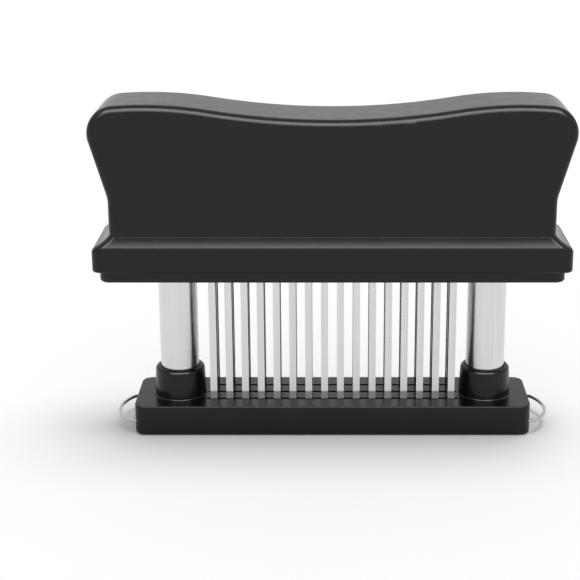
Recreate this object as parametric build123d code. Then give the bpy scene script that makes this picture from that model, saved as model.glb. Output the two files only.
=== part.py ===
from build123d import *
import math
import os

os.makedirs("parts", exist_ok=True)

# A spring-loaded meat tenderizer, in millimetres. X runs along the handle, Y from the front (-)
# to the back (+) and Z up. The origin is on the worktop, under the middle of the base.
# The base and its two posts stay on the meat, and the handle slides down with three rows of blades.

# Blades
row_count = 3
row_pitch = 5.92
blade_count = 16
blade_pitch = 5.15
blade_width = 2.2
blade_thickness = 0.7
blade_tip_height = 1.6
blade_bevel_length = 3.2
blade_edge_land = 0.12
blade_head_width = 3.2
blade_head_height = 3.2

# Slots that the blades pass through
slot_side_gap = 0.3
slot_end_gap = 1.2

# Blade cartridges: a holder and a cap for each row
cartridge_gap = 0.55
cartridge_end_gap = 0.375
holder_height = 7.7
holder_end_wall = 1.3
holder_fit = 0.1
holder_corner_radius = 0.6
cap_strip_height = 1.2
rib_gap = 0.1

# Posts
post_diameter = 12.5
post_wall = 1.1
post_socket_gap = 0.05
post_foot_height = 7.0
plug_length = 8.0
plug_gap = 0.03
plug_chamfer = 0.5

# Base plate
base_end_margin = 14.0
base_height = 10.0
base_corner_radius = 3.4
base_top_edge_radius = 0.3
base_bottom_edge_radius = 1.0

# Sole, a thin plate let into the underside of the base
sole_thickness = 1.8
sole_inset = 1.8
sole_corner_radius = 1.6
sole_gap = 0.05

# Collars on the base that the posts stand in
collar_height = 9.8
collar_top_diameter = 15.9
collar_foot_diameter = 16.9
collar_lip_radius = 1.2
collar_foot_radius = 0.5
collar_mouth_chamfer = 0.4

# Locking clips, bent from wire, that hold the base on the posts
clip_wire = 1.2
clip_height = 4.3
clip_bow_reach = 6.7
clip_bow_half_width = 10.6
clip_bow_radius = 16.0
clip_bow_corner_radius = 3.6
clip_leg_length = 13.0
clip_step_length = 4.0
clip_stub = 1.0
clip_bend_radius = 1.5
clip_channel_gap = 0.3
clip_groove_gap = 0.3
clip_neck_gap = 0.15
post_neck_diameter = 10.2

# Blade plate, which closes the handle from below
press_travel = 31.6
press_end_gap = 0.3
plate_step = 3.8
plate_floor = 3.0
plate_wall = 1.8
plate_gap = 0.15
plate_corner_radius = 3.2
plate_bottom_edge_radius = 1.0
fence_height = 3.0
fence_thickness = 1.2
fence_gap = 0.1

# Guide bushes that the posts slide in
bush_running_gap = 0.05
bush_flange_height = 1.5
bush_sleeve_height = 4.5
bush_fit = 0.05

# Stop caps on the posts, inside the handle
stop_gap = 0.1
stop_head_diameter = 14.4
stop_head_height = 3.0
stop_edge_radius = 0.5

# Return springs
spring_wire = 0.8
spring_mean_diameter = 11.6
spring_turns = 7
spring_end_gap = 0.02
spring_spigot_diameter = 10.0
spring_spigot_height = 3.0

# Handle: flange, with ends that are rounded over into the ledge
flange_height = 8.25
flange_wall = 1.8
flange_roof = 2.4
flange_corner_radius = 2.6
flange_bottom_edge_radius = 0.8
flange_end_radius = 2.0
flange_end_sections = 6

# Handle: the ledge round the neck, a hollow slope that is steep at the front and back and
# shallow at the ends, below a fine step
ledge_length = 5.57
ledge_depth = 1.3
ledge_height = 3.25
ledge_end_run = 3.9
ledge_even_share = 0.55
ledge_sections = 7
root_step = 0.25
root_step_radius = 0.12

# Handle: grip
neck_end_margin = 19.63
neck_side_gap = 3.0
neck_height = 14.95
crease_radius = 9.0
flare_angle = 16.85
shoulder_radius = 8.75
hump_inset = 11.8
hump_height = 44.35
saddle_depth = 4.65
saddle_radius = 240.0
grip_taper = 0.85
grip_straight_height = 33.2
side_crease_radius = 50.0
side_bend_radius = 165.0
grip_edge_radius = 2.3
grip_wall = 2.4

# Handle: inside
tube_bore_gap = 0.2
tube_wall = 1.2
tube_ceiling_drop = 4.25
tube_web = 1.6
tube_seat_gap = 0.05
rib_count = 4
rib_thickness = 1.6
rib_span = 62.0

# Screws
plate_screw_offset = 13.7
plate_screw_y = 5.5
plate_screw_length = 12.0
plate_boss_diameter = 6.2
plate_boss_spare = 8.0
plate_screw_head_diameter = 4.6
plate_screw_head_height = 1.5
plate_screw_shank_diameter = 2.4
sole_screw_x = 28.0
sole_screw_wall = 0.64
sole_screw_length = 6.0
sole_screw_head_diameter = 3.2
sole_screw_head_height = 0.9
sole_screw_shank_diameter = 1.8
screw_recess = 0.15
screw_hole_gap = 0.15
screw_thread_gap = 0.02
screw_tip_room = 0.5
screw_tip_chamfer_share = 0.2
driver_slot_width = 0.6
driver_slot_depth = 0.45
driver_slot_share = 0.7

# Working values: how far cutting shapes run past a face, and how closely edges are picked
cut_over = 1.0
pick_within = 1e-4
straight_within = 0.999

# Sizes and places that follow from these, from the blades outwards
blade_span = (blade_count - 1) * blade_pitch + blade_width
slot_length = blade_span + 2 * slot_end_gap
slot_width = blade_thickness + 2 * slot_side_gap
row_places = [(i - (row_count - 1) / 2) * row_pitch for i in range(row_count)]
blade_places = [(i - (blade_count - 1) / 2) * blade_pitch for i in range(blade_count)]
holder_length = blade_span + 2 * holder_end_wall
holder_depth = row_pitch - cartridge_gap
cartridge_half_depth = (row_count - 1) / 2 * row_pitch + holder_depth / 2

tube_bore_radius = stop_head_diameter / 2 + tube_bore_gap
tube_radius = tube_bore_radius + tube_wall
post_radius = post_diameter / 2
post_bore_radius = post_radius - post_wall
post_x = holder_length / 2 + cartridge_end_gap + tube_radius

sole_screw_hole_radius = sole_screw_head_diameter / 2 + screw_hole_gap
sole_screw_y = row_places[-1] + slot_width / 2 + sole_screw_wall + sole_screw_hole_radius
sole_recess_half_depth = sole_screw_y + sole_screw_hole_radius + sole_screw_wall + sole_gap
base_depth = 2 * (sole_recess_half_depth + sole_inset)
base_end = post_x + base_end_margin
collar_top = base_height + collar_height
foot_top = sole_thickness + post_foot_height
neck_radius = post_neck_diameter / 2
clip_leg_y = neck_radius + clip_neck_gap + clip_wire / 2
clip_channel_half = clip_wire / 2 + clip_channel_gap
clip_step_outer = base_end - clip_stub
clip_step_inner = clip_step_outer - clip_step_length
clip_tip_x = clip_step_inner - clip_leg_length

plate_bottom = collar_top + press_end_gap + press_travel
floor_top = plate_bottom + plate_floor
flange_bottom = plate_bottom + plate_step
flange_top = flange_bottom + flange_height
roof_under = flange_top - flange_roof
neck_half_length = post_x + neck_end_margin
neck_half_depth = cartridge_half_depth + neck_side_gap + grip_wall
flange_length = 2 * (neck_half_length + ledge_length)
flange_depth = 2 * (neck_half_depth + ledge_depth)
ledge_top = flange_top + ledge_height
root_corner_radius = grip_edge_radius + root_step
foot_run = ledge_end_run * (2 - ledge_even_share)
foot_slope = math.atan2(ledge_height, foot_run)
end_turn = math.pi / 2 - foot_slope
end_round_reach = flange_end_radius * (1 - math.cos(end_turn))
end_straight_run = ledge_length - root_step - ledge_end_run - end_round_reach
end_round_z = flange_top - end_straight_run * math.tan(foot_slope)
end_round_z -= flange_end_radius * math.sin(end_turn)
plate_length = flange_length - 2 * (flange_wall + plate_gap)
plate_depth = flange_depth - 2 * (flange_wall + plate_gap)

holder_top = floor_top + holder_height
cartridge_top = holder_top + cap_strip_height
head_top = holder_top - holder_fit
head_bottom = head_top - blade_head_height
bush_flange_top = floor_top + bush_flange_height
bush_top = bush_flange_top + bush_sleeve_height
bush_sleeve_radius = tube_bore_radius - bush_fit
post_top = bush_top + stop_gap
stop_top = post_top + stop_head_height

crease_z = flange_top + neck_height
hump_z = flange_top + hump_height
saddle_z = hump_z - saddle_depth
grip_straight_z = flange_top + grip_straight_height
hump_x = neck_half_length - hump_inset
hump_radius = (hump_x**2 + saddle_depth**2) / (2 * saddle_depth) - saddle_radius
ceiling_z = hump_z - tube_ceiling_drop
plate_screw_x = post_x + plate_screw_offset


def rounded_block(length, depth, radius, bottom, top):
    """An upright block with rounded corners, centred on the Z axis."""
    outline = Plane.XY.offset(bottom) * RectangleRounded(length, depth, radius)
    return extrude(outline, amount=top - bottom)


def bar(length, depth, bottom, top, x=0.0, y=0.0):
    """A plain upright bar centred on x and y."""
    low = (Align.CENTER, Align.CENTER, Align.MIN)
    return Pos(x, y, bottom) * Box(length, depth, top - bottom, align=low)


def rod(radius, bottom, top, x=0.0, y=0.0):
    """A plain upright rod centred on x and y."""
    low = (Align.CENTER, Align.CENTER, Align.MIN)
    return Pos(x, y, bottom) * Cylinder(radius, top - bottom, align=low)


def edges_at(shape, height):
    """The edges of shape that lie wholly at one height."""
    return shape.edges().filter_by_position(Axis.Z, height - pick_within, height + pick_within)


def four_places(x, y):
    """The four places mirrored about the middle."""
    return [(sx * x, sy * y) for sx in (-1, 1) for sy in (-1, 1)]


def both_ways(build):
    """The left and right copies of what build makes at the right-hand end."""
    right = build()
    return {"left": mirror(right, about=Plane.YZ), "right": right}


def screw(x, y, bottom, head_diameter, head_height, shank_diameter, length):
    """A screw driven upwards, with its cross-slotted head at the bottom."""
    shank_bottom = bottom + head_height
    shank_top = shank_bottom + length
    shank = rod(shank_diameter / 2, shank_bottom, shank_top, x, y)
    shank = chamfer(edges_at(shank, shank_top), shank_diameter * screw_tip_chamfer_share)
    body = rod(head_diameter / 2, bottom, shank_bottom, x, y) + shank
    reach = head_diameter * driver_slot_share
    for slot_x, slot_y in ((reach, driver_slot_width), (driver_slot_width, reach)):
        body -= bar(slot_x, slot_y, bottom - cut_over, bottom + driver_slot_depth, x, y)
    return body


def screw_hole(x, y, under, over, head_diameter, head_height, shank_diameter):
    """The counterbore and clear hole for a screw through a plate that runs from under to over."""
    seat = under + screw_recess + head_height
    counterbore = rod(head_diameter / 2 + screw_hole_gap, under - cut_over, seat, x, y)
    clear_radius = shank_diameter / 2 + screw_hole_gap
    return counterbore + rod(clear_radius, under, over + cut_over, x, y)


def blade_slots(bottom, top):
    """The long slots that the rows of blades pass through, as cutting shapes."""
    return [bar(slot_length, slot_width, bottom, top, y=y) for y in row_places]


def collar():
    """A tapered collar with a rounded lip, at the right-hand end."""
    low = (Align.CENTER, Align.CENTER, Align.MIN)
    cone = Cone(collar_foot_diameter / 2, collar_top_diameter / 2, collar_height, align=low)
    ring = Pos(post_x, 0, base_height) * cone
    return fillet(edges_at(ring, collar_top), collar_lip_radius)


def post_socket():
    """The hole down through the right-hand collar that a post stands in."""
    radius = post_radius + post_socket_gap
    high = (Align.CENTER, Align.CENTER, Align.MAX)
    mouth = Cone(radius, radius + collar_mouth_chamfer, collar_mouth_chamfer, align=high)
    socket = rod(radius, -cut_over, collar_top + cut_over, post_x)
    return socket + Pos(post_x, 0, collar_top) * mouth


def clip_channel():
    """The hollow for the right-hand clip: a wide mouth and one narrow run for each leg."""
    low = clip_height - clip_channel_half
    high = clip_height + clip_channel_half
    outside = base_end + cut_over
    mouth_start = clip_step_inner - clip_channel_half
    mouth_depth = 2 * (clip_bow_half_width + clip_channel_half)
    mouth_x = (outside + mouth_start) / 2
    cut = bar(outside - mouth_start, mouth_depth, low, high, mouth_x)
    run_start = clip_tip_x - clip_channel_gap
    run_x = (outside + run_start) / 2
    for y in (-clip_leg_y, clip_leg_y):
        cut += bar(outside - run_start, 2 * clip_channel_half, low, high, run_x, y)
    return cut


def sole_block(gap, bottom):
    """The sole's block, smaller all round by gap, from bottom up to its seat."""
    length = 2 * (base_end - sole_inset - gap)
    depth = base_depth - 2 * (sole_inset + gap)
    return rounded_block(length, depth, sole_corner_radius, bottom, sole_thickness)


def base_body():
    """The moulded base: blade slots, two collars, clip channels and a recess for the sole."""
    body = rounded_block(2 * base_end, base_depth, base_corner_radius, 0, base_height)
    body = fillet(edges_at(body, base_height), base_top_edge_radius)
    body = fillet(edges_at(body, 0), base_bottom_edge_radius)
    for ring in both_ways(collar).values():
        body += ring
    foot_rings = edges_at(body, base_height).filter_by(GeomType.CIRCLE)
    foot_radius = collar_foot_diameter / 2
    foot_rings = [e for e in foot_rings if abs(e.radius - foot_radius) < pick_within]
    body = fillet(foot_rings, collar_foot_radius)
    for cut in (post_socket, clip_channel):
        for shape in both_ways(cut).values():
            body -= shape
    body -= sole_block(0, -cut_over)
    body -= blade_slots(-cut_over, base_height + cut_over)
    hole_radius = sole_screw_shank_diameter / 2 + screw_thread_gap
    hole_top = screw_recess + sole_screw_head_height + sole_screw_length + screw_tip_room
    for x, y in four_places(sole_screw_x, sole_screw_y):
        body -= rod(hole_radius, 0, hole_top, x, y)
    return body


def base_sole():
    """The plate under the base, which the post feet stand on."""
    body = sole_block(sole_gap, 0)
    body -= blade_slots(-cut_over, sole_thickness + cut_over)
    for x, y in four_places(sole_screw_x, sole_screw_y):
        body -= screw_hole(x, y, 0, sole_thickness, sole_screw_head_diameter,
                           sole_screw_head_height, sole_screw_shank_diameter)
    return body


def sole_screws():
    """The four screws that hold the sole in the base."""
    return [
        screw(x, y, screw_recess, sole_screw_head_diameter, sole_screw_head_height,
              sole_screw_shank_diameter, sole_screw_length)
        for x, y in four_places(sole_screw_x, sole_screw_y)
    ]


def post():
    """A steel tube standing on its foot in the right-hand collar."""
    outside = rod(post_radius, foot_top, post_top, post_x)
    return outside - rod(post_bore_radius, foot_top - cut_over, post_top + cut_over, post_x)


def post_foot():
    """The plug in the foot of a post, with the ring groove that the clip's legs lie in."""
    plug_radius = post_bore_radius - plug_gap
    plug = rod(plug_radius, foot_top, foot_top + plug_length, post_x)
    plug = chamfer(edges_at(plug, foot_top + plug_length), plug_chamfer)
    body = rod(post_radius, sole_thickness, foot_top, post_x) + plug
    groove_half = clip_wire / 2 + clip_groove_gap
    low = clip_height - groove_half
    high = clip_height + groove_half
    ring = rod(post_diameter, low, high, post_x) - rod(neck_radius, low, high, post_x)
    return body - ring


def stop_cap():
    """The cap on top of a post: it meets the guide bush at rest and carries the spring."""
    head = rod(stop_head_diameter / 2, post_top, stop_top, post_x)
    head = fillet(edges_at(head, stop_top), stop_edge_radius)
    plug_bottom = post_top - plug_length
    plug = rod(post_bore_radius - plug_gap, plug_bottom, post_top, post_x)
    plug = chamfer(edges_at(plug, plug_bottom), plug_chamfer)
    spigot_top = stop_top + spring_spigot_height
    spigot = rod(spring_spigot_diameter / 2, stop_top, spigot_top, post_x)
    spigot = chamfer(edges_at(spigot, spigot_top), plug_chamfer)
    return head + plug + spigot


def return_spring():
    """The compression spring between a stop cap and the ceiling of its tube."""
    low = stop_top + spring_end_gap + spring_wire / 2
    high = ceiling_z - spring_end_gap - spring_wire / 2
    pitch = (high - low) / spring_turns
    path = Helix(pitch, high - low, spring_mean_diameter / 2, center=(post_x, 0, low))
    section = Plane(origin=path @ 0, z_dir=path % 0) * Circle(spring_wire / 2)
    return sweep(section, path=path, is_frenet=True)


def guide_bush():
    """A flanged nylon bush, held between the blade plate and a tube of the handle."""
    body = rod(bush_sleeve_radius, plate_bottom, bush_top, post_x)
    body += rod(tube_radius, floor_top, bush_flange_top, post_x)
    running_radius = post_radius + bush_running_gap
    return body - rod(running_radius, plate_bottom - cut_over, bush_top + cut_over, post_x)


def lock_clip():
    """A wire clip: a bow outside the base and two legs that lie in the groove of a post's foot."""
    bow_x = base_end + clip_bow_reach - clip_wire / 2
    bow_centre = bow_x - clip_bow_radius
    corner_y = clip_bow_half_width - clip_bow_corner_radius
    spread = math.asin(corner_y / (clip_bow_radius - clip_bow_corner_radius))
    corner_x = bow_centre + (clip_bow_radius - clip_bow_corner_radius) * math.cos(spread)
    turn = math.degrees(spread)
    leg = FilletPolyline(
        (clip_tip_x, clip_leg_y),
        (clip_step_inner, clip_leg_y),
        (clip_step_outer, clip_bow_half_width),
        (corner_x, clip_bow_half_width),
        radius=clip_bend_radius,
    )
    corner = CenterArc((corner_x, corner_y), clip_bow_corner_radius, 90, turn - 90)
    bow = CenterArc((bow_centre, 0), clip_bow_radius, turn, -2 * turn)
    half = Curve() + [leg, corner]
    line = half + bow + mirror(half, about=Plane.XZ)
    path = Pos(0, 0, clip_height) * line
    section_plane = Plane(origin=(clip_tip_x, clip_leg_y, clip_height), z_dir=(1, 0, 0))
    return sweep(section_plane * Circle(clip_wire / 2), path=path)


def blade_plate():
    """The tray that closes the handle: step, floor with slots, rim, fences and bush seats."""
    rim_top = roof_under - plate_gap
    body = rounded_block(plate_length, plate_depth, plate_corner_radius, plate_bottom, rim_top)
    body = fillet(edges_at(body, plate_bottom), plate_bottom_edge_radius)
    inner_length = plate_length - 2 * plate_wall
    inner_depth = plate_depth - 2 * plate_wall
    inner_radius = plate_corner_radius - plate_wall
    body -= rounded_block(inner_length, inner_depth, inner_radius, floor_top, rim_top + cut_over)
    fence_y = cartridge_half_depth + fence_gap + fence_thickness / 2
    for y in (-fence_y, fence_y):
        body += bar(slot_length, fence_thickness, floor_top, floor_top + fence_height, y=y)
    body -= blade_slots(plate_bottom - cut_over, floor_top + cut_over)
    for side in (-1, 1):
        radius = bush_sleeve_radius + bush_fit
        body -= rod(radius, plate_bottom - cut_over, floor_top + cut_over, side * post_x)
    for x, y in four_places(plate_screw_x, plate_screw_y):
        body -= screw_hole(x, y, plate_bottom, floor_top, plate_screw_head_diameter,
                           plate_screw_head_height, plate_screw_shank_diameter)
    return body


def plate_screws():
    """The four screws that hold the blade plate in the handle."""
    return [
        screw(x, y, plate_bottom + screw_recess, plate_screw_head_diameter,
              plate_screw_head_height, plate_screw_shank_diameter, plate_screw_length)
        for x, y in four_places(plate_screw_x, plate_screw_y)
    ]


def blade(x, y):
    """A flat blade with a wider head at the top and a bevelled edge at the tip."""
    side = blade_thickness / 2
    land = blade_edge_land / 2
    bevel_top = blade_tip_height + blade_bevel_length
    outline = Polygon(
        (-side, head_top), (-side, bevel_top), (-land, blade_tip_height),
        (land, blade_tip_height), (side, bevel_top), (side, head_top),
        align=None,
    )
    shank = extrude(Plane.YZ * outline, amount=blade_width / 2, both=True)
    head = bar(blade_head_width, blade_thickness, head_bottom, head_top)
    return Pos(x, y, 0) * (shank + head)


def blade_row(y):
    """The blades of one row."""
    return [blade(x, y) for x in blade_places]


def blade_holder(y):
    """The moulded bar that the heads of one row of blades hang in."""
    block = rounded_block(holder_length, holder_depth, holder_corner_radius, floor_top, holder_top)
    pocket_depth = blade_thickness + 2 * holder_fit
    cuts = []
    for x in blade_places:
        cuts.append(bar(blade_width + 2 * holder_fit, pocket_depth, floor_top - cut_over,
                        holder_top, x))
        cuts.append(bar(blade_head_width + 2 * holder_fit, pocket_depth, head_bottom,
                        holder_top + cut_over, x))
    return Pos(0, y, 0) * (block - cuts)


def holder_cap(y):
    """The strip that closes the top of a blade holder."""
    strip = rounded_block(holder_length, holder_depth, holder_corner_radius, holder_top,
                          cartridge_top)
    return Pos(0, y, 0) * strip


def mirrored(point):
    """The point on the other side of the middle."""
    return Vector(-point.X, point.Y)


def front_outline(gap, bottom):
    """The grip from the front, smaller by gap: neck, flared ends, two humps and a saddle."""
    angle = math.radians(flare_angle)
    along = Vector(math.sin(angle), math.cos(angle))
    inward = Vector(-math.cos(angle), math.sin(angle))
    hump_centre = Vector(hump_x, hump_z - hump_radius)
    saddle_centre = Vector(0, saddle_z + saddle_radius)
    start = Vector(neck_half_length, crease_z) + inward * shoulder_radius
    lever = start - hump_centre
    reach = hump_radius - shoulder_radius
    middle = lever.dot(along)
    flare_length = math.sqrt(middle**2 - lever.dot(lever) + reach**2) - middle
    shoulder_centre = start + along * flare_length

    foot = Vector(neck_half_length - gap, bottom)
    crease = Vector(neck_half_length - gap, crease_z + gap * math.tan(angle / 2))
    shoulder = shoulder_radius - gap
    flare_end = shoulder_centre - inward * shoulder
    outward = (shoulder_centre - hump_centre).normalized()
    shoulder_end = shoulder_centre + outward * shoulder
    shoulder_middle = shoulder_centre + (outward - inward).normalized() * shoulder
    hump_top = Vector(hump_x, hump_z - gap)
    to_hump = (hump_centre - saddle_centre).normalized()
    saddle_end = saddle_centre + to_hump * (saddle_radius + gap)
    saddle_low = Vector(0, saddle_z - gap)

    side = Curve() + [
        Polyline(foot, crease, flare_end),
        ThreePointArc(flare_end, shoulder_middle, shoulder_end),
        ThreePointArc(shoulder_end, hump_top, saddle_end),
    ]
    saddle = ThreePointArc(saddle_end, saddle_low, mirrored(saddle_end))
    floor = Line(mirrored(foot), foot)
    edges = side.edges() + mirror(side, about=Plane.YZ).edges() + saddle.edges() + floor.edges()
    face = make_face(edges)
    creases = [v for v in face.vertices() if abs(v.Y - crease.Y) < pick_within]
    return fillet(creases, crease_radius)


def end_outline(bottom):
    """The grip from the end: the neck, sides that lean in a little and straight sides above."""
    top = hump_z + cut_over
    half = neck_half_depth - grip_taper
    outline = Polyline(
        (-neck_half_depth, bottom), (neck_half_depth, bottom), (neck_half_depth, crease_z),
        (half, grip_straight_z), (half, top), (-half, top),
        (-half, grip_straight_z), (-neck_half_depth, crease_z),
        close=True,
    )
    face = make_face(outline.edges())
    creases = [v for v in face.vertices() if abs(v.Y - crease_z) < pick_within]
    face = fillet(creases, side_crease_radius)
    bends = [v for v in face.vertices() if abs(v.Y - grip_straight_z) < pick_within]
    return fillet(bends, side_bend_radius)


def slanted_or_curved(edge):
    """Whether an edge is anything but a straight line along X or Y."""
    if edge.geom_type != GeomType.LINE:
        return True
    direction = edge % 0
    return max(abs(direction.X), abs(direction.Y)) < straight_within


def grip_block():
    """The outside of the grip, down into the flange."""
    seen_front = extrude(Plane.XZ * front_outline(0, roof_under), amount=flange_depth, both=True)
    seen_end = extrude(Plane.YZ * end_outline(roof_under), amount=flange_length, both=True)
    block = seen_front & seen_end
    return fillet(block.edges().filter_by(slanted_or_curved), grip_edge_radius)


def grip_core():
    """The straight-sided hollow up inside the grip, with a top that follows the outside."""
    outline = front_outline(grip_wall, roof_under - cut_over)
    seen_front = extrude(Plane.XZ * outline, amount=flange_depth, both=True)
    length = 2 * (neck_half_length - grip_wall)
    depth = 2 * (neck_half_depth - grip_wall)
    return seen_front & bar(length, depth, roof_under - cut_over, hump_z)


def evenly(count):
    """Shares from 0 to 1 in equal steps."""
    return [i / (count - 1) for i in range(count)]


def ledge_section(share):
    """The ledge's outline at a share of its height, from 0 at the root to 1 at the foot."""
    out = share * (ledge_even_share + (1 - ledge_even_share) * share)
    length = 2 * (neck_half_length + root_step + ledge_end_run * out)
    depth = 2 * (neck_half_depth + root_step + (ledge_depth - root_step) * out)
    corner = root_corner_radius + (flange_corner_radius - root_corner_radius) * share
    outline = RectangleRounded(length, depth, corner)
    return Plane.XY.offset(ledge_top - ledge_height * share) * outline


def end_section(turn):
    """The flange's outline where its ends are rounded over by an angle from upright."""
    length = flange_length - 2 * flange_end_radius * (1 - math.cos(turn))
    outline = RectangleRounded(length, flange_depth, flange_corner_radius)
    return Plane.XY.offset(end_round_z + flange_end_radius * math.sin(turn)) * outline


def flange_block():
    """The outside of the flange, with the hollow ledge that rises to a fine step round the neck."""
    body = rounded_block(flange_length, flange_depth, flange_corner_radius, flange_bottom,
                         end_round_z)
    body = fillet(edges_at(body, flange_bottom), flange_bottom_edge_radius)
    round_over = [end_section(end_turn * share) for share in evenly(flange_end_sections)]
    body += loft(round_over + [ledge_section(1)])
    body += loft([ledge_section(1 - share) for share in evenly(ledge_sections)])
    return fillet(edges_at(body, ledge_top), root_step_radius)


def inner_works():
    """Tubes, webs, bosses and ribs inside the handle, still solid."""
    parts = []
    boss_bottom = floor_top + tube_seat_gap
    boss_top = boss_bottom + plate_screw_length + plate_boss_spare
    web_start = post_x + tube_radius - tube_wall
    web_end = neck_half_length - grip_wall / 2
    for side in (-1, 1):
        tube_bottom = bush_flange_top + tube_seat_gap
        parts.append(rod(tube_radius, tube_bottom, hump_z, side * post_x))
        parts.append(bar(tube_web, 2 * neck_half_depth, roof_under, hump_z, side * post_x))
        for y in (-plate_screw_y, plate_screw_y):
            boss_x = side * plate_screw_x
            parts.append(rod(plate_boss_diameter / 2, boss_bottom, boss_top, boss_x, y))
            web_x = side * (web_start + web_end) / 2
            parts.append(bar(web_end - web_start, tube_web, roof_under, boss_top, web_x, y))
    for i in range(rib_count):
        x = (i / (rib_count - 1) - 0.5) * rib_span
        parts.append(bar(rib_thickness, 2 * neck_half_depth, cartridge_top + rib_gap, hump_z, x))
    return parts


def handle_shell():
    """The handle moulding: flange, grip and the works inside them."""
    outside = flange_block() + grip_block()
    hollow_length = flange_length - 2 * flange_wall
    hollow_depth = flange_depth - 2 * flange_wall
    hollow_radius = flange_corner_radius - flange_wall
    body = outside - grip_core()
    body -= rounded_block(hollow_length, hollow_depth, hollow_radius, flange_bottom - cut_over,
                          roof_under)
    limit = grip_block() + bar(flange_length, 2 * neck_half_depth, floor_top, roof_under)
    for part in inner_works():
        body += limit & part
    for side in (-1, 1):
        bore = rod(tube_bore_radius, plate_bottom, ceiling_z, side * post_x)
        spigot_bottom = ceiling_z - spring_spigot_height
        spigot = rod(spring_spigot_diameter / 2, spigot_bottom, ceiling_z, side * post_x)
        body -= bore - spigot
    hole_radius = plate_screw_shank_diameter / 2 + screw_thread_gap
    hole_top = plate_bottom + screw_recess + plate_screw_head_height
    hole_top += plate_screw_length + screw_tip_room
    for x, y in four_places(plate_screw_x, plate_screw_y):
        body -= rod(hole_radius, plate_bottom, hole_top, x, y)
    return body


def save(name, shape):
    """Writes one node, as one solid or as a group of separate solids."""
    if isinstance(shape, list):
        shape = Compound(children=shape)
    export_step(shape, f"parts/{name}.step")


save("base_body", base_body())
save("base_sole", base_sole())
save("sole_screws", sole_screws())
save("handle_shell", handle_shell())
save("blade_plate", blade_plate())
save("plate_screws", plate_screws())

paired = {
    "post": post,
    "post_foot": post_foot,
    "stop_cap": stop_cap,
    "return_spring": return_spring,
    "guide_bush": guide_bush,
    "lock_clip": lock_clip,
}
for name, build in paired.items():
    for side, shape in both_ways(build).items():
        save(f"{side}_{name}", shape)

for row, y in zip(("front", "middle", "rear"), row_places):
    save(f"{row}_blades", blade_row(y))
    save(f"{row}_blade_holder", blade_holder(y))
    save(f"{row}_holder_cap", holder_cap(y))
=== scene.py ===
import math
import bpy
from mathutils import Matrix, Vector


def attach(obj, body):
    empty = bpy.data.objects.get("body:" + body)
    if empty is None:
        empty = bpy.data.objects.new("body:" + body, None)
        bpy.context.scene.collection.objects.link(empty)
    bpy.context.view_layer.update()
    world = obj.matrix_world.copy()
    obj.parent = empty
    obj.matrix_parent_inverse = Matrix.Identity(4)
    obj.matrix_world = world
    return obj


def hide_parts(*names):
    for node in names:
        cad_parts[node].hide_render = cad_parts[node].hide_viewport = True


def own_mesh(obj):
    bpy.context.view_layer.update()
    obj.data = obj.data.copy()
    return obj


# A press-down meat tenderizer in a white studio. Everything is in metres, in the model's frame.

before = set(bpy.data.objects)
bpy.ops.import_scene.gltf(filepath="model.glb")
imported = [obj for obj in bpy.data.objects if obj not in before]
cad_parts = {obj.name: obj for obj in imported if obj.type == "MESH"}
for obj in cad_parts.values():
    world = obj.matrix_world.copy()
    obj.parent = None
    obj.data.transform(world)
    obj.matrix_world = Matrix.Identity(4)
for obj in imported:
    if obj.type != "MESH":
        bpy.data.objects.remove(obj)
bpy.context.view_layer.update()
scene = bpy.context.scene
scene.view_settings.view_transform = "Standard"

# Camera, with the focal length and the axis in pixels of the square picture
PICTURE_SIDE = 580
FOCAL_PIXELS = 1441
AXIS_PIXEL = (332.5, 245.0)
CAMERA_PLACE = (0.0, -0.4439, 0.18945)
CAMERA_DOWN = 16.21
SENSOR_WIDTH = 36.0
NEAREST_SEEN = 0.01
FARTHEST_SEEN = 50

# Light that falls on everything: an even sky and a broad sun, high up, to the right and behind
BACKDROP_LEVEL = 0.8
SKY_LEVEL = 0.62
SUN_LEVEL = 1.55
SUN_SPREAD = 34.0
SUN_PLACE = (0.12, 0.10, 1.0)

# A panel in front of the object that shows only in the gloss of the mouldings, and fades out
# towards its lower edge
PANEL_LEVEL = 8.6
PANEL_SIZE = (1.8, 1.2)
PANEL_DISTANCE = 1.2
PANEL_ELEVATION = 40.5
PANEL_TARGET = (0.0, 0.0, 0.1)
PANEL_FULL_FROM = 0.5

# The floor reaches past the view and lies just below the base's underside
FLOOR_HALF_WIDTH = 8.0
FLOOR_DROP = 0.00002

# Noise that makes the finishes uneven: waves to the metre, height of the bumps, and the part of
# its values that is used
CLOUD_WAVES = 60
GLOSS_WAVES = 240
GRAIN_WAVES = 2600
STREAK_WAVES = 900
FLOOR_WAVES = 6
GRAIN_HEIGHT = 0.00002
STREAK_HEIGHT = 0.00001
NOISE_USED = (0.3, 0.7)

# How streaks in steel are stretched
ALONG_Z = (1, 1, 0.03)
EVEN = (1, 1, 1)


def make_camera():
    """The camera at the photograph's place, angle and framing."""
    data = bpy.data.cameras.new("camera")
    data.sensor_width = SENSOR_WIDTH
    data.lens = FOCAL_PIXELS / PICTURE_SIDE * SENSOR_WIDTH
    data.shift_x = 0.5 - AXIS_PIXEL[0] / PICTURE_SIDE
    data.shift_y = AXIS_PIXEL[1] / PICTURE_SIDE - 0.5
    data.clip_start = NEAREST_SEEN
    data.clip_end = FARTHEST_SEEN
    camera = bpy.data.objects.new("camera", data)
    camera.location = CAMERA_PLACE
    camera.rotation_euler = (math.radians(90 - CAMERA_DOWN), 0, 0)
    scene.collection.objects.link(camera)
    scene.camera = camera


def new_material(name):
    """A new material, with its node tree and its shader."""
    material = bpy.data.materials.new(name)
    material.use_nodes = True
    tree = material.node_tree
    return material, tree, tree.nodes["Principled BSDF"]


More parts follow.
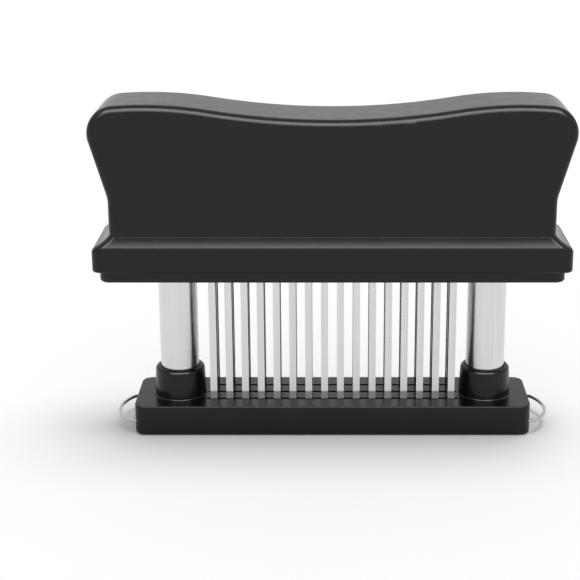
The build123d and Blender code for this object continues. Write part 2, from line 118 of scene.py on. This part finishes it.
def spread(tree, source, low, high, to_low, to_high):
    """A value stretched from low..high to to_low..to_high."""
    node = tree.nodes.new("ShaderNodeMapRange")
    node.inputs["From Min"].default_value = low
    node.inputs["From Max"].default_value = high
    node.inputs["To Min"].default_value = to_low
    node.inputs["To Max"].default_value = to_high
    tree.links.new(source, node.inputs["Value"])
    return node.outputs["Result"]


def noise(tree, scale, stretch=EVEN, detail=3.0):
    """Noise over the object's own space, scale in waves to the metre, stretched along an axis."""
    place = tree.nodes.new("ShaderNodeTexCoord")
    mapping = tree.nodes.new("ShaderNodeMapping")
    mapping.inputs["Scale"].default_value = stretch
    texture = tree.nodes.new("ShaderNodeTexNoise")
    texture.inputs["Scale"].default_value = scale
    texture.inputs["Detail"].default_value = detail
    tree.links.new(place.outputs["Object"], mapping.inputs["Vector"])
    tree.links.new(mapping.outputs["Vector"], texture.inputs["Vector"])
    return texture.outputs["Fac"]


def bump(tree, shader, height, distance, strength):
    """A bump from a height value into the shader's normal."""
    node = tree.nodes.new("ShaderNodeBump")
    node.inputs["Strength"].default_value = strength
    node.inputs["Distance"].default_value = distance
    tree.links.new(height, node.inputs["Height"])
    tree.links.new(node.outputs["Normal"], shader.inputs["Normal"])


def colour_mix(tree, factor, one, two):
    """A colour between one and two by a factor."""
    node = tree.nodes.new("ShaderNodeMix")
    node.data_type = "RGBA"
    node.inputs["A"].default_value = (*one, 1)
    node.inputs["B"].default_value = (*two, 1)
    tree.links.new(factor, node.inputs["Factor"])
    return node.outputs["Result"]


def plastic(name, dark, light, rough, grain, ior=1.45):
    """Moulded plastic: faint uneven gloss and a fine grain."""
    material, tree, shader = new_material(name)
    shader.inputs["IOR"].default_value = ior
    cloud = noise(tree, CLOUD_WAVES)
    tint = colour_mix(tree, spread(tree, cloud, *NOISE_USED, 0, 1), dark, light)
    tree.links.new(tint, shader.inputs["Base Color"])
    gloss = spread(tree, noise(tree, GLOSS_WAVES), *NOISE_USED, *rough)
    tree.links.new(gloss, shader.inputs["Roughness"])
    bump(tree, shader, noise(tree, GRAIN_WAVES, detail=2), GRAIN_HEIGHT, grain)
    return material


def metal(name, dark, light, rough, stretch, grain):
    """Steel: polish or brushing that runs along one axis."""
    material, tree, shader = new_material(name)
    shader.inputs["Metallic"].default_value = 1.0
    streaks = noise(tree, STREAK_WAVES, stretch)
    tint = colour_mix(tree, spread(tree, streaks, *NOISE_USED, 0, 1), dark, light)
    tree.links.new(tint, shader.inputs["Base Color"])
    gloss = spread(tree, streaks, *NOISE_USED, *rough)
    tree.links.new(gloss, shader.inputs["Roughness"])
    bump(tree, shader, streaks, STREAK_HEIGHT, grain)
    return material


# Each finish: its darkest and lightest colour, its least and greatest roughness and its grain
black = plastic("black_plastic", (0.003, 0.003, 0.003), (0.004, 0.004, 0.004),
                (0.2, 0.26), 0.05, ior=1.36)
sole = plastic("sole_plastic", (0.006, 0.006, 0.006), (0.010, 0.010, 0.010),
               (0.38, 0.48), 0.3)
inner = plastic("inner_plastic", (0.02, 0.02, 0.02), (0.03, 0.03, 0.03),
                (0.35, 0.45), 0.25)
nylon = plastic("bush_nylon", (0.76, 0.74, 0.69), (0.82, 0.81, 0.77),
                (0.38, 0.46), 0.3)
post_steel = metal("post_steel", (0.63, 0.63, 0.62), (0.69, 0.69, 0.68),
                   (0.18, 0.24), ALONG_Z, 0.04)
blade_steel = metal("blade_steel", (0.62, 0.62, 0.62), (0.68, 0.68, 0.68),
                    (0.07, 0.10), ALONG_Z, 0.03)
clip_wire = metal("clip_wire", (0.52, 0.52, 0.53), (0.58, 0.58, 0.59),
                  (0.08, 0.13), EVEN, 0.03)
spring_steel = metal("spring_steel", (0.42, 0.42, 0.43), (0.5, 0.5, 0.51),
                     (0.24, 0.32), EVEN, 0.08)
screw_steel = metal("screw_steel", (0.5, 0.5, 0.51), (0.58, 0.58, 0.58),
                    (0.26, 0.36), EVEN, 0.1)

MOULDED = (black, sole, inner, nylon)
FINISHES = {
    "handle_shell": black,
    "blade_plate": black,
    "base_body": black,
    "base_sole": sole,
    "post": post_steel,
    "post_foot": inner,
    "stop_cap": inner,
    "guide_bush": nylon,
    "return_spring": spring_steel,
    "lock_clip": clip_wire,
    "blades": blade_steel,
    "blade_holder": inner,
    "holder_cap": inner,
    "plate_screws": screw_steel,
    "sole_screws": screw_steel,
}
SIDES = ("left_", "right_", "front_", "middle_", "rear_")


def finish_for(name):
    """The material of a node, from its name without the side that it is on."""
    for side in SIDES:
        name = name.removeprefix(side)
    return FINISHES[name]


def squeezed_spring(name):
    """A copy of a return spring with a mesh of its own, fixed to the base, in place of the CAD
    spring, which can't shorten and is hidden.
    """
    spring = bpy.data.objects.new(name + "_coil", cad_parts[name].data.copy())
    scene.collection.objects.link(spring)
    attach(spring, "base")
    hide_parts(name)
    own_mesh(spring)


def make_floor():
    """A plain white floor that fills the view and takes the shadow."""
    material, tree, shader = new_material("floor_white")
    tint = colour_mix(tree, noise(tree, FLOOR_WAVES), (0.93, 0.93, 0.93), (0.95, 0.95, 0.95))
    tree.links.new(tint, shader.inputs["Base Color"])
    shader.inputs["Roughness"].default_value = 0.7
    shader.inputs["Specular IOR Level"].default_value = 0.2
    mesh = bpy.data.meshes.new("floor")
    half = FLOOR_HALF_WIDTH
    low = -FLOOR_DROP
    corners = [(-half, -half, low), (half, -half, low), (half, half, low), (-half, half, low)]
    mesh.from_pydata(corners, [], [(0, 1, 2, 3)])
    mesh.materials.append(material)
    floor = bpy.data.objects.new("floor", mesh)
    scene.collection.objects.link(floor)


def background(tree, level):
    """An even white light of the given level from all around."""
    node = tree.nodes.new("ShaderNodeBackground")
    node.inputs["Strength"].default_value = level
    node.inputs["Color"].default_value = (1, 1, 1, 1)
    return node.outputs[0]


def make_world():
    """White where the camera, gloss or glass looks at it, and a softer level as light."""
    world = bpy.data.worlds.new("studio")
    scene.world = world
    world.use_nodes = True
    tree = world.node_tree
    tree.nodes.clear()
    path = tree.nodes.new("ShaderNodeLightPath")
    looked_at = path.outputs["Is Camera Ray"]
    for ray in ("Is Glossy Ray", "Is Transmission Ray"):
        either = tree.nodes.new("ShaderNodeMath")
        either.operation = "MAXIMUM"
        tree.links.new(looked_at, either.inputs[0])
        tree.links.new(path.outputs[ray], either.inputs[1])
        looked_at = either.outputs[0]
    mix = tree.nodes.new("ShaderNodeMixShader")
    tree.links.new(looked_at, mix.inputs[0])
    tree.links.new(background(tree, SKY_LEVEL), mix.inputs[1])
    tree.links.new(background(tree, BACKDROP_LEVEL), mix.inputs[2])
    output = tree.nodes.new("ShaderNodeOutputWorld")
    tree.links.new(mix.outputs[0], output.inputs["Surface"])


def aim(lamp, place, target):
    """Puts a lamp at a place and turns it to a target."""
    lamp.location = place
    lamp.rotation_euler = (Vector(target) - Vector(place)).to_track_quat("-Z", "Y").to_euler()
    scene.collection.objects.link(lamp)


def make_sun():
    """A broad sun that lights surfaces and casts the shadow, but doesn't show in gloss."""
    data = bpy.data.lights.new("sun", "SUN")
    data.energy = SUN_LEVEL
    data.angle = math.radians(SUN_SPREAD)
    sun = bpy.data.objects.new("sun", data)
    sun.visible_glossy = False
    aim(sun, SUN_PLACE, (0, 0, 0))


def make_panel():
    """A soft box in front that shows only in the mouldings, as the light along the crest."""
    data = bpy.data.lights.new("front_panel", "AREA")
    data.shape = "RECTANGLE"
    data.size, data.size_y = PANEL_SIZE
    data.energy = PANEL_LEVEL * math.pi * data.size * data.size_y
    data.use_nodes = True
    tree = data.node_tree
    place = tree.nodes.new("ShaderNodeNewGeometry")
    split = tree.nodes.new("ShaderNodeSeparateXYZ")
    tree.links.new(place.outputs["Parametric"], split.inputs["Vector"])
    fade = spread(tree, split.outputs["Y"], 0, PANEL_FULL_FROM, 0, 1)
    tree.links.new(fade, tree.nodes["Emission"].inputs["Strength"])
    panel = bpy.data.objects.new("front_panel", data)
    panel.visible_camera = False
    panel.visible_diffuse = False
    moulded = bpy.data.collections.new("moulded_pieces")
    for name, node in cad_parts.items():
        if finish_for(name) in MOULDED:
            moulded.objects.link(node)
    panel.light_linking.receiver_collection = moulded
    rise = math.radians(PANEL_ELEVATION)
    reach = Vector((0, -math.cos(rise), math.sin(rise))) * PANEL_DISTANCE
    aim(panel, Vector(PANEL_TARGET) + reach, PANEL_TARGET)


for name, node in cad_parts.items():
    node.data.materials.clear()
    node.data.materials.append(finish_for(name))

for side in ("left", "right"):
    squeezed_spring(side + "_return_spring")

make_camera()
make_floor()
make_world()
make_sun()
make_panel()
